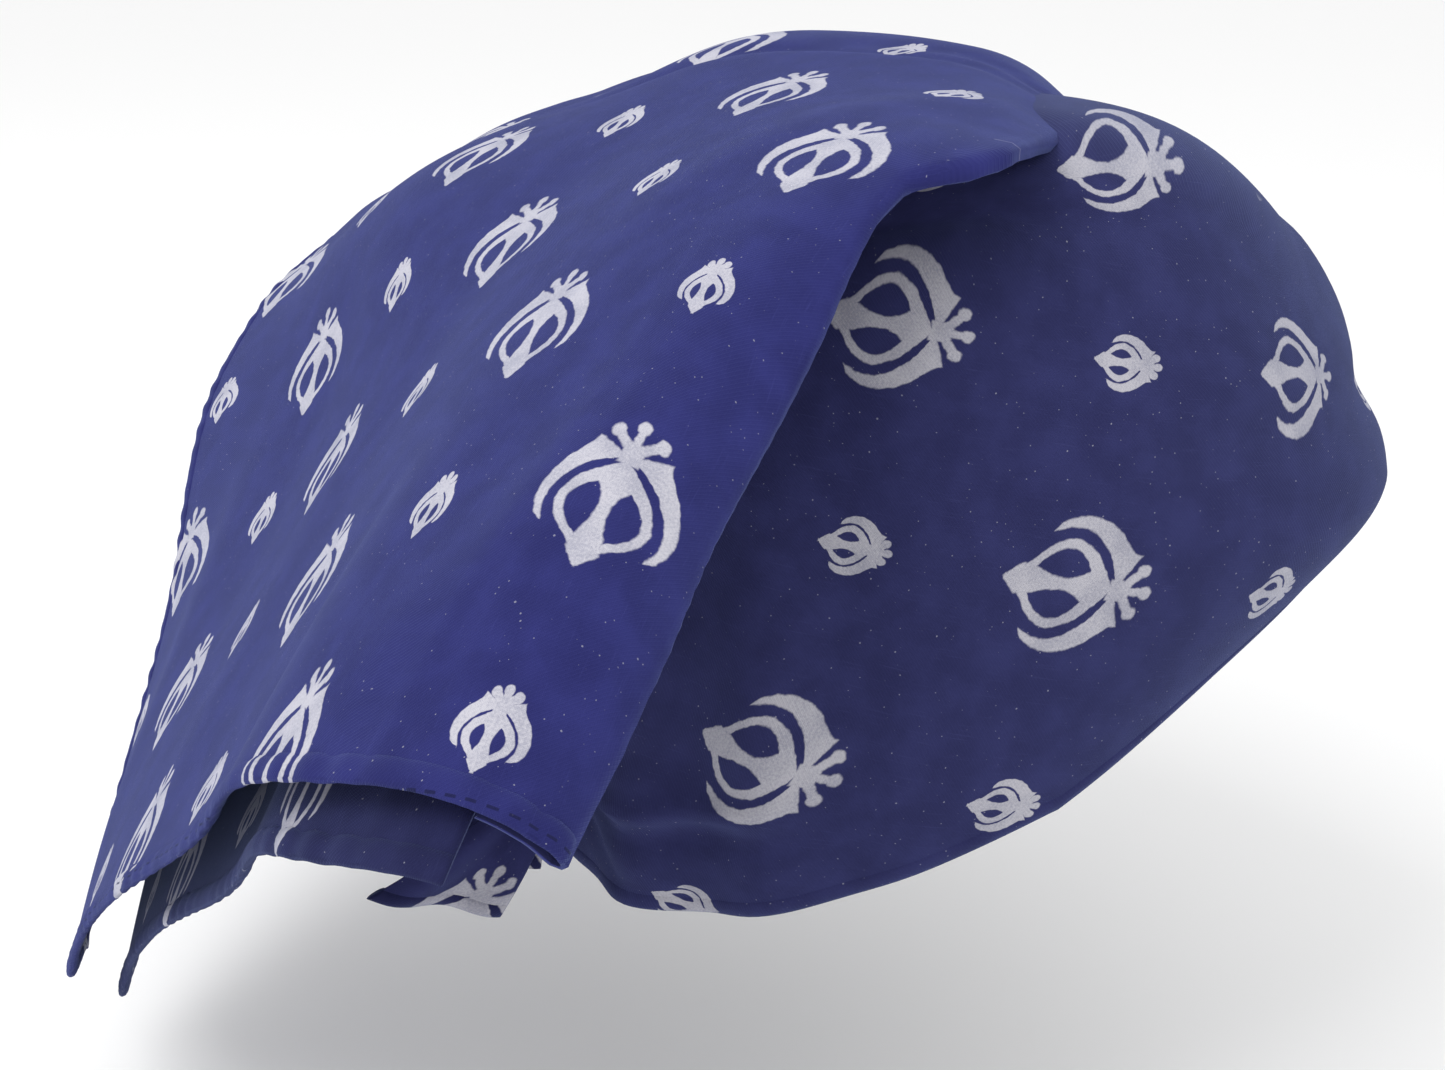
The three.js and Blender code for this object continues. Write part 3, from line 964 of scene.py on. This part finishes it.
def flap_layer(inset, drop, trim, lift_at, rolls):
    """Functions for the place and the print of one layer, by shares across and along it."""
    right_edge = -RIGHT_FOLD - inset / PITCH
    left_edge = 1.0 + LEFT_FOLD + inset / PITCH
    hem = HEM + drop / PITCH
    far_hem = 1.0 - HEM - drop / PITCH
    spare = ROLL_LENGTH / PITCH if rolls else 0.0

    def spot(across, along):
        share_s = np.clip(across, 0.0, 1.0)
        share_t = np.clip(along, 0.0, 1.0)
        if rolls:
            u0 = np.interp(left_edge + share_t * (hem - left_edge), *zip(*NEAR_BORDER))
        else:
            u0 = right_edge - trim * np.maximum(0.0, 1.0 - share_t / CORNER_SHARE) ** 2
            u0 = u0 + TUCK_REACH * np.exp(-(((share_t - TUCK_AT) / TUCK_WIDTH) ** 2))
        v0 = left_edge + trim * np.maximum(0.0, 1.0 - share_s / CORNER_SHARE) ** 2
        hem_u = far_hem + CORNER_ROUND * share_t**8
        hem_v = hem_line(hem, share_s, drop)
        cloth_u = u0 + spare - across * (u0 + spare - hem_u)
        cloth_v = v0 - spare + along * (hem_v - v0 + spare)
        over_u, deep_u = turned_under((cloth_u - u0) * PITCH)
        over_v, deep_v = turned_under((v0 - cloth_v) * PITCH)
        return u0 + over_u / PITCH, v0 - over_v / PITCH, deep_u + deep_v, cloth_u, cloth_v

    def place(across, along):
        u, v, deep, _, _ = spot(across, along)
        return flap_place(u, v, lift_at(v - u) + deep + flap_form(u, v))

    def print_at(across, along):
        return settled_print(*spot(across, along)[3:])

    return place, print_at


def flap_form(u, v):
    """The folds of the flap, and how its corner sinks into the top of the crown."""
    sink = CORNER_SINK * (1.0 - smooth(*CORNER_SINK_DOWN, v - u)) * smooth(*CORNER_SINK_ACROSS, u)
    return soft_folds(u, v, FLAP_FOLDS) - sink


# The print stops short of the folded corner and of the near border, where the cloth is turned under.
BLANK_ABOVE = 3.66
BLANK_BORDER = -0.46

# How the print slides across the flap. Columns: -u where it starts and is full, move against u.
FLAP_SLIDES = [(1.2, 2.4, 0.12), (3.0, 4.0, 0.15), (5.2, 6.2, -0.35)]

# Small pulls of the flap's print. Columns: u, v, width, move in u, move in v.
FLAP_PULLS = [
    (-1.0, 5.0, 0.5, 0.11, 0.07),
    (-2.0, 2.0, 0.5, -0.15, -0.15),
]

# The pull of the ridge over the hem, the cloth drawn in at its foot, and the slide at the far corner.
PULL_RIDGE_AT = -1.7
PULL_RIDGE_WIDTH = 0.6
PULL_RIDGE_DOWN = (4.5, 6.5)
PULL_RIDGE_U = 0.28
PULL_RIDGE_V = 0.12
DRAWN_U = -1.65
DRAWN_V = 7.0
DRAWN_WIDTH_U = 0.45
DRAWN_WIDTH_V = 0.8
DRAWN_UNTIL = (-1.55, -1.25)
FAR_SLIDE = 0.2
FAR_SLIDE_FROM = (5.2, 6.0)
FLAP_PRINT_RISE = 0.04


def settled_print(u, v):
    """The print's place where the cloth has slid a little in its folds."""
    blank = np.maximum(BLANK_ABOVE - (v - u), 0.0) / 2.0
    u, v = np.minimum(u - blank, BLANK_BORDER), v + blank
    ridge = np.exp(-(((u - PULL_RIDGE_AT) / PULL_RIDGE_WIDTH) ** 2)) * smooth(*PULL_RIDGE_DOWN, v)
    slid = sum(move * smooth(start, full, -u) for start, full, move in FLAP_SLIDES)
    drawn = np.exp(-(((u - DRAWN_U) / DRAWN_WIDTH_U) ** 2) - ((v - DRAWN_V) / DRAWN_WIDTH_V) ** 2)
    u = u + (u - DRAWN_U) * drawn * (1.0 - smooth(*DRAWN_UNTIL, u))
    far = FAR_SLIDE * smooth(*FAR_SLIDE_FROM, -u)
    u, v = pull_print(u, v, FLAP_PULLS)
    return u - slid - PULL_RIDGE_U * ridge, v - FLAP_PRINT_RISE - PULL_RIDGE_V * ridge + far


INNER_FALLS = (5.0, 13.0)
OUTER_GRID = 170
INNER_GRID = 130
OUTER_HEM_COLUMNS = 260
INNER_HEM_COLUMNS = 220


def inner_lift(along):
    return -CLOTH - LAYER_GAP - INNER_DEPTH * smooth(*INNER_FALLS, along)


outer_place, outer_print = flap_layer(0.0, 0.0, SOFT_CORNER_TRIM, np.zeros_like, True)
outer_mesh = cloth_grid(OUTER_GRID, OUTER_GRID, outer_place, outer_print)
outer = new_piece("outer_flap_cloth", outer_mesh, flap_cotton_painted_light)
add_wall(outer, CLOTH, 0.0, reverse_painted_shade)
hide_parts("outer_flap")

inner_place, inner_print = flap_layer(INNER_INSET, INNER_DROP, INNER_TRIM, inner_lift, False)
inner_mesh = cloth_grid(INNER_GRID, INNER_GRID, inner_place, inner_print)
inner = new_piece("inner_flap_cloth", inner_mesh, cotton_painted_shade)
add_wall(inner, CLOTH, 0.0, reverse_painted_shade)
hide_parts("inner_flap")


PUCKER = 0.25
PUCKER_RATE = 0.9
LOWER_PUCKER = 3.1
FAR_PUCKER = 3.7


def puckered(at, slow_rate):
    """The small waves that the stitches leave along a hem."""
    return PUCKER * np.sin(at * PITCH * PUCKER_RATE) * np.sin(at * slow_rate)


def hem_of(right_edge, left_edge, hem, drop, lift_at):
    """The places of a layer's two hems, each told by shares along it."""
    far_hem = 1.0 - hem

    def lower(along, inwards, lift):
        u = right_edge - along * (right_edge - far_hem - CORNER_ROUND)
        v = hem_line(hem, along, drop) - (inwards - HEM_OUT) / PITCH
        out = lift_at(v - u) + lift + puckered(u, LOWER_PUCKER) + flap_form(u, v)
        return flap_place(u, v, out), settled_print(u, v)

    def far(along, inwards, lift):
        v = left_edge + along * (hem_line(hem, 1.0, drop) - left_edge)
        u = far_hem + CORNER_ROUND * along**8 + (inwards - HEM_OUT) / PITCH
        out = lift_at(v - u) + lift + puckered(v, FAR_PUCKER) + flap_form(u, v)
        return flap_place(u, v, out), settled_print(u, v)

    return lower, far


def flap_hem(name, columns, at_edge, material):
    return edge_roll(name, columns, HEM_WIDTH, HEM_THICKNESS, at_edge, material)


outer_lower, outer_far = hem_of(NEAR_BORDER[-1][1], 1.0 + LEFT_FOLD, HEM, 0.0, np.zeros_like)
outer_hem = flap_hem("outer_flap_hem", OUTER_HEM_COLUMNS, outer_lower, stitched_hem_painted_light)
outer_far_hem = flap_hem("outer_flap_far_hem", OUTER_HEM_COLUMNS, outer_far, stitched_hem_painted_light)
inner_lower, inner_far = hem_of(
    -RIGHT_FOLD - INNER_INSET / PITCH,
    1.0 + LEFT_FOLD + INNER_INSET / PITCH,
    HEM + INNER_DROP / PITCH,
    INNER_DROP,
    inner_lift,
)
inner_hem = flap_hem("inner_flap_hem", INNER_HEM_COLUMNS, inner_lower, stitched_inner_hem_painted_shade)
inner_far_hem = flap_hem("inner_flap_far_hem", INNER_HEM_COLUMNS, inner_far, stitched_inner_hem_painted_shade)


# The knot at the nape, with a wrap of cloth round its middle, and the two free ends.


KNOT_COLUMNS = 96
KNOT_ROWS = 60
WRAP_ROWS = 24
KNOT_FULL = 0.93
KNOT_WAIST = 0.14
KNOT_WAIST_WIDTH = 0.25
PLEATS = 9.0
PLEAT_RISE = 0.05
PLEAT_TWIST = 2.0
FINE_PLEATS = 17.0
FINE_PLEAT_RISE = 0.03
WRAP_OUT = 0.90
WRAP_SWELL = 0.10
WRAP_PLEATS = 5.0
WRAP_PLEAT_RISE = 0.007
WRAP_PLEAT_TWIST = 3.0
WRAP_HALF_WIDTH = 4.6
WRAP_SPREAD = 0.15
WRAP_LEAN = 1.5


def round_the_knot(angle, out, y):
    """A place round the knot's middle, by its angle and by its reach as a share of the knot's own."""
    x = KNOT_X + KNOT_DEPTH / 2.0 * out * np.cos(angle)
    return np.stack([x, y, -KNOT_DROP + KNOT_HEIGHT / 2.0 * out * np.sin(angle)], -1)


def knot_place(across, along):
    angle = 2.0 * math.pi * across
    polar = math.pi * along
    folds = PLEAT_RISE * np.sin(PLEATS * angle + PLEAT_TWIST * np.cos(polar))
    folds = folds + FINE_PLEAT_RISE * np.sin(FINE_PLEATS * angle)
    waist = 1.0 - KNOT_WAIST * np.exp(-((np.cos(polar) / KNOT_WAIST_WIDTH) ** 2))
    out = np.sin(polar) * waist * (KNOT_FULL + folds)
    return round_the_knot(angle, out, -KNOT_WIDTH / 2.0 * np.cos(polar))


SMALL_PRINT_U = 1.5
SMALL_PRINT_V = 0.5
GATHERED_PRINT = 1.5
KNOT_PRINT_ALONG = 0.8
WRAP_PRINT_ALONG = 0.3


def small_print(scale_u, scale_v):
    return lambda across, along: (SMALL_PRINT_U + scale_u * across, SMALL_PRINT_V + scale_v * along)


def wrap_place(across, along):
    angle = 2.0 * math.pi * across
    turn = 2.0 * math.pi * along
    pleat = WRAP_PLEAT_RISE * np.sin(WRAP_PLEATS * turn + WRAP_PLEAT_TWIST * angle)
    out = WRAP_OUT + WRAP_SWELL * np.sin(turn) + pleat
    y = WRAP_HALF_WIDTH * np.cos(turn) * (1.0 + WRAP_SPREAD * np.sin(angle)) + WRAP_LEAN * np.cos(angle)
    return round_the_knot(angle, out, y)


def gathered_piece(name, rows, place, print_along):
    mesh = cloth_grid(KNOT_COLUMNS, rows, place, small_print(GATHERED_PRINT, print_along))
    bmesh.ops.remove_doubles(mesh, verts=mesh.verts, dist=MERGE)
    bmesh.ops.recalc_face_normals(mesh, faces=mesh.faces)
    return new_piece(name, mesh, cotton_painted_shade)


knot = gathered_piece("knot_cloth", KNOT_ROWS, knot_place, KNOT_PRINT_ALONG)
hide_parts("knot")
gathered_piece("knot_wrap", WRAP_ROWS, wrap_place, WRAP_PRINT_ALONG)

TIE_COLUMNS = 48
TIE_ROWS = 36
TIE_WALL_SHARE = 1.2
TIE_HEM_WIDTH = 3.6
TIE_HEM_THICKNESS = 2.4
TIE_HEM_PRINT = (0.65, 0.5)
TIE_HEM_PRINT_REACH = 30.0
TIE_WAVE = 1.6
TIE_WAVES = 9.0
TIE_WAVE_TURN = 1.0
TIE_WAVE_ROOT = 0.4


def tie_place(side, length, sway):
    slope = math.sqrt(1.0 - (TIE_SPREAD / KNOT_WIDTH) ** 2)
    top = -KNOT_DROP - KNOT_HEIGHT / 2.0 * slope - TIE_GAP

    def place(across, along):
        width = TIE_ROOT_WIDTH + (TIE_WIDTH - TIE_ROOT_WIDTH) * along
        off = across - 0.5
        wave = TIE_WAVE * np.sin(off * TIE_WAVES + TIE_WAVE_TURN)
        wave = wave * (TIE_WAVE_ROOT + (1.0 - TIE_WAVE_ROOT) * along)
        y = side * (TIE_SPREAD / 2.0 + TIE_SWELL * np.sin(math.pi * along)) + wave
        z = top - length * along - TIE_TILT * along * off
        return np.stack([KNOT_X - sway * along + off * width, y, z], -1)

    return place


def tie_end(name, side, length, sway, node):
    place = tie_place(side, length, sway)
    mesh = cloth_grid(TIE_COLUMNS, TIE_ROWS, place, small_print(TIE_WIDTH / PITCH, length / PITCH))
    piece = new_piece(name, mesh, printed_cotton)
    add_wall(piece, CLOTH * TIE_WALL_SHARE, 0.0)
    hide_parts(node)

    def at_end(along, inwards, lift):
        spots = place(along, 1.0 - (inwards - HEM_OUT) / length)
        spots[:, 1] += lift
        return spots, small_print(*TIE_HEM_PRINT)(along, 1.0 - inwards / TIE_HEM_PRINT_REACH)

    hem = edge_roll(name + "_hem", TIE_COLUMNS, TIE_HEM_WIDTH, TIE_HEM_THICKNESS, at_end, cotton_painted_shade)


tie_end("near_tie_cloth", -1.0, TIE_LENGTH, TIE_SWAY, "near_tie_end")
tie_end("far_tie_cloth", 1.0, FAR_TIE_LENGTH, TIE_SWAY / 2.0, "far_tie_end")


# The floor and the light.


FLOOR_Z = -0.232
FLOOR_HALF = 6.0
FLOOR_SHADE = (0.93, 0.93, 0.93)
FLOOR_ROUGHNESS = 0.9


def plain(name, shade):
    finish = Finish(name)
    sockets = {"Base Color": (*shade, 1.0), "Roughness": FLOOR_ROUGHNESS}
    surface = finish.node("ShaderNodeBsdfPrincipled", None, sockets)
    finish.node("ShaderNodeOutputMaterial", None, {0: surface.outputs[0]})
    return finish.material


floor_mesh = bmesh.new()
bmesh.ops.create_grid(floor_mesh, x_segments=1, y_segments=1, size=FLOOR_HALF)
bmesh.ops.translate(floor_mesh, verts=floor_mesh.verts, vec=(0.0, 0.0, FLOOR_Z))
floor_data = bpy.data.meshes.new("floor")
floor_mesh.to_mesh(floor_data)
floor_mesh.free()
floor_data.materials.append(plain("pale_floor", FLOOR_SHADE))
floor = bpy.data.objects.new("floor", floor_data)
bpy.context.scene.collection.objects.link(floor)

world = bpy.data.worlds.new("studio")
bpy.context.scene.world = world
world.use_nodes = True
world.node_tree.nodes["Background"].inputs[0].default_value = (1.0, 1.0, 1.0, 1.0)
world.node_tree.nodes["Background"].inputs[1].default_value = 1.0


def soft_light(name, place, towards, size, power):
    light = bpy.data.lights.new(name, "AREA")
    light.size = size
    light.energy = power
    lamp = bpy.data.objects.new(name, light)
    lamp.location = place
    aim = np.array(towards) - np.array(place)
    flat = math.hypot(aim[0], aim[1])
    lamp.rotation_euler = (math.atan2(flat, -aim[2]), 0.0, math.atan2(aim[1], aim[0]) - math.pi / 2.0)
    bpy.context.scene.collection.objects.link(lamp)


# Each light: its place, what it points at, its size in metres and its power in watts.
soft_light("key", (-0.9, -0.5, 1.3), (-0.08, 0.0, -0.05), 0.9, 12.0)
soft_light("fill", (0.9, -1.3, 0.5), (0.0, 0.0, -0.08), 1.2, 2.0)
bpy.context.scene.view_settings.view_transform = "Standard"
